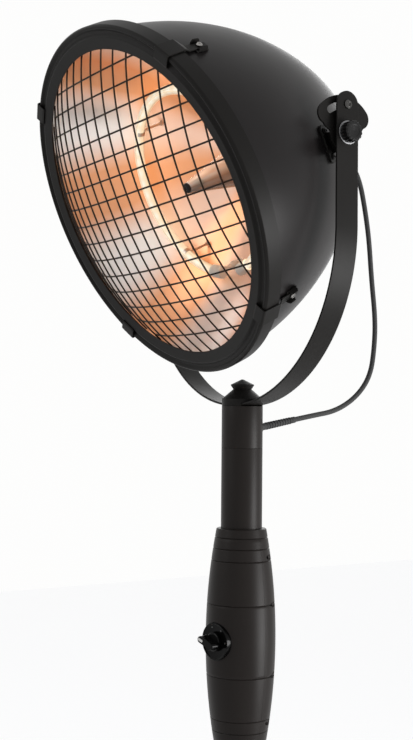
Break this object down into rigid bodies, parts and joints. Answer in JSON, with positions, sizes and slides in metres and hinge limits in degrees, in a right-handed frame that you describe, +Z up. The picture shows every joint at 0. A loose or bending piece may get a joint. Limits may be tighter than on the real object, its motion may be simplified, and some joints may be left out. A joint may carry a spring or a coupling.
{
  "type": "infrared patio heater tower",
  "caption": "Free-standing infrared heater: a weighted round base, a tube post with a barrel switch housing, and a guarded lamp bowl that tilts in a U-shaped yoke.",
  "frame": {"origin": "centre of the base, on the floor", "axes": "+Z up along the post; the mouth of the head faces -Y; the tilt axis lies along X"},
  "size_m": [0.5, 0.5, 2.0979],
  "materials": {
    "dome_coat": "matte black powder coat, slightly warm",
    "trim_coat": "satin black powder coat",
    "post_coat": "matte black powder coat",
    "cast_weight": "black painted casting",
    "zinc_steel": "bright zinc plated",
    "plain_steel": "plain steel sleeve",
    "polished_dish": "polished aluminium",
    "quartz": "gold-tinted quartz tube",
    "ceramic": "cream ceramic",
    "switch_black": "gloss black moulding",
    "knob_black": "matte black moulding",
    "white_print": "white inlay",
    "black_rubber": "black rubber",
    "fibre": "dark fibre washer"
  },
  "bodies": {
    "tower": {"base_weight": "cast_weight", "base_cover": "post_coat", "base_feet": "black_rubber", "post_flange": "post_coat", "flange_bolts": "zinc_steel", "lower_pole": "post_coat", "pole_coupler": "plain_steel", "middle_pole": "post_coat", "pole_screws": "trim_coat", "mains_gland": "black_rubber", "housing_front": "post_coat", "housing_rear": "post_coat", "housing_screws": "zinc_steel", "post_spine": "plain_steel", "switch_plate": "switch_black", "dial_dots": "white_print", "switch_body": "knob_black", "upper_tube": "post_coat", "top_section": "post_coat", "top_coupler": "plain_steel", "top_plug": "plain_steel", "yoke_strap": "trim_coat", "cone_cap": "trim_coat", "finial": "trim_coat", "post_gland": "black_rubber", "strap_washers": "zinc_steel", "stop_screws": "trim_coat", "head_cable": "black_rubber"},
    "head": {"pivot_bolts": "zinc_steel", "bracket_spacers": "fibre", "bracket_screws": "trim_coat", "dome_shell": "dome_coat", "reflector": "polished_dish", "bezel_ring": "trim_coat", "wire_guard": "trim_coat", "ring_clips": "trim_coat", "clip_lugs": "trim_coat", "clip_screws": "trim_coat", "head_gland": "black_rubber", "quartz_ring": "quartz", "lamp_caps": "ceramic", "lamp_holders": "polished_dish", "reflector_cone": "polished_dish", "centre_screw": "zinc_steel", "terminal_plate": "plain_steel", "terminal_block": "ceramic", "bracket_right": "trim_coat", "bracket_left": "trim_coat"},
    "knob_right": {"tilt_knob_right": "knob_black"},
    "knob_left": {"tilt_knob_left": "knob_black"},
    "switch": {"switch_knob": "switch_black", "switch_marker": "white_print"}
  },
  "joints": [
    {"name": "head_tilt", "type": "hinge", "parent": "tower", "child": "head", "pos_m": [0, 0, 1.948], "axis": [1, 0, 0], "range_deg": [-36, 18], "deforming": ["head_cable"]},
    {"name": "tilt_knob_right_turn", "type": "hinge", "parent": "head", "child": "knob_right", "pos_m": [0.2, 0, 1.948], "axis": [1, 0, 0], "range_deg": [0, 360]},
    {"name": "tilt_knob_left_turn", "type": "hinge", "parent": "head", "child": "knob_left", "pos_m": [-0.2, 0, 1.948], "axis": [-1, 0, 0], "range_deg": [0, 360]},
    {"name": "switch_turn", "type": "hinge", "parent": "tower", "child": "switch", "pos_m": [0, 0, 1.37], "axis": [-0.1564, 0.9877, 0], "range_deg": [0, 162]}
  ]
}
